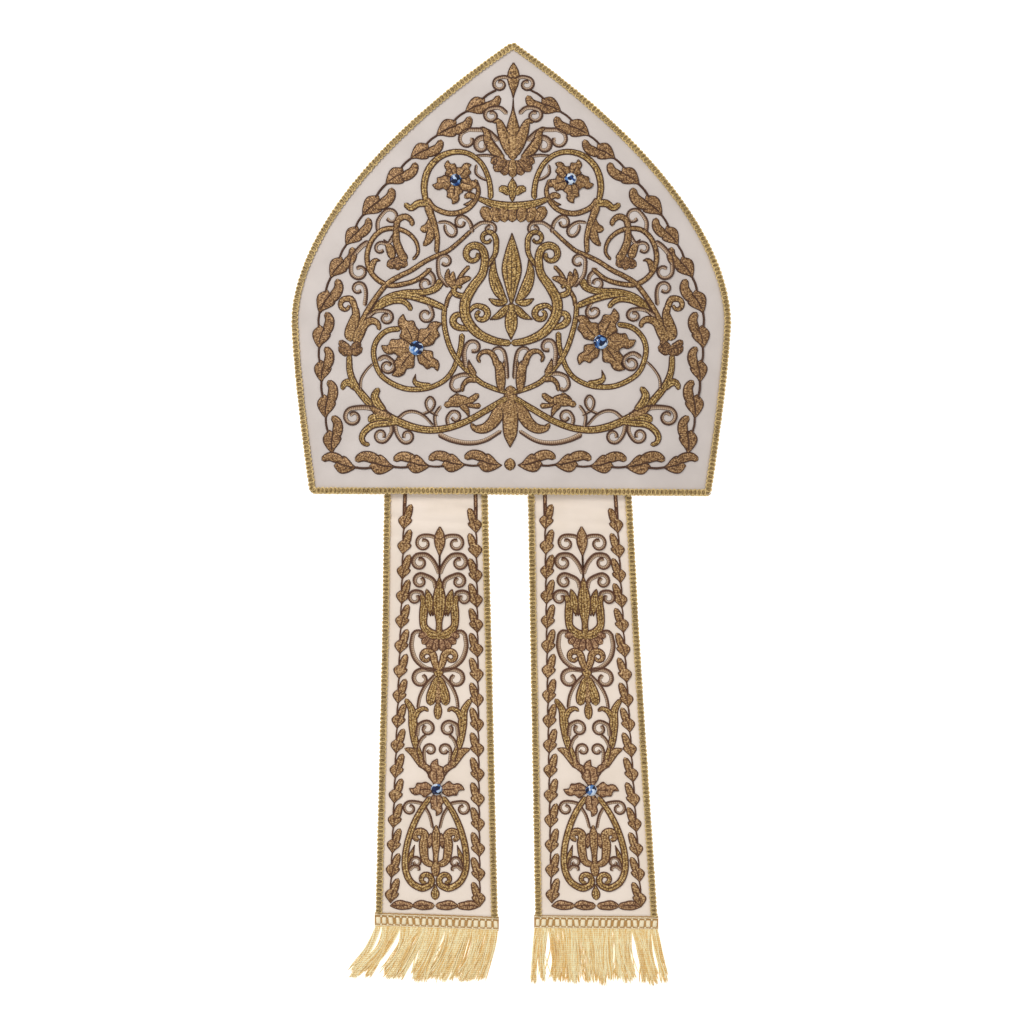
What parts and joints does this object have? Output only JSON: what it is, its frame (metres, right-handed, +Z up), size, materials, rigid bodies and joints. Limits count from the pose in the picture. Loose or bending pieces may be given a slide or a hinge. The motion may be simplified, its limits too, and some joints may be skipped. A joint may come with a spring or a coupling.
{
  "type": "bishop mitre",
  "caption": "Tall pointed cloth mitre lying flat, with gold braid, raised flowers, cut stones and two fringed lappets.",
  "frame": {"origin": "middle of the whole length and width, on the table under it", "axes": "+X across the mitre, +Y from the fringes towards the peaks, +Z up off the table, out of the panel that carries the lappets"},
  "size_m": [0.326, 0.6945, 0.0353],
  "materials": {
    "cream_cloth": "fine matt silk-like cloth",
    "lining_cloth": "plain soft lining",
    "gold_braid": "metal-wrapped thread worked in small scrolls",
    "gold_thread": "couched metal thread with brown outlines",
    "gold_fringe": "twisted shiny rayon strands",
    "sapphire_glass": "cut and polished"
  },
  "bodies": {
    "root": {"back_panel": "cream_cloth", "front_panel": "cream_cloth", "crown_gusset": "lining_cloth", "back_braid": "gold_braid", "front_braid": "gold_braid", "left_lappet": "cream_cloth", "right_lappet": "cream_cloth", "left_lappet_braid_left": "gold_braid", "left_lappet_braid_right": "gold_braid", "right_lappet_braid_left": "gold_braid", "right_lappet_braid_right": "gold_braid", "left_fringe": "gold_fringe", "right_fringe": "gold_fringe", "flower_lower_left": "gold_thread", "flower_lower_right": "gold_thread", "flower_upper_left": "gold_thread", "flower_upper_right": "gold_thread", "flower_left_lappet": "gold_thread", "flower_right_lappet": "gold_thread", "stone_lower_left": "sapphire_glass", "stone_lower_right": "sapphire_glass", "stone_upper_left": "sapphire_glass", "stone_upper_right": "sapphire_glass", "stone_left_lappet": "sapphire_glass", "stone_right_lappet": "sapphire_glass"}
  },
  "joints": []
}
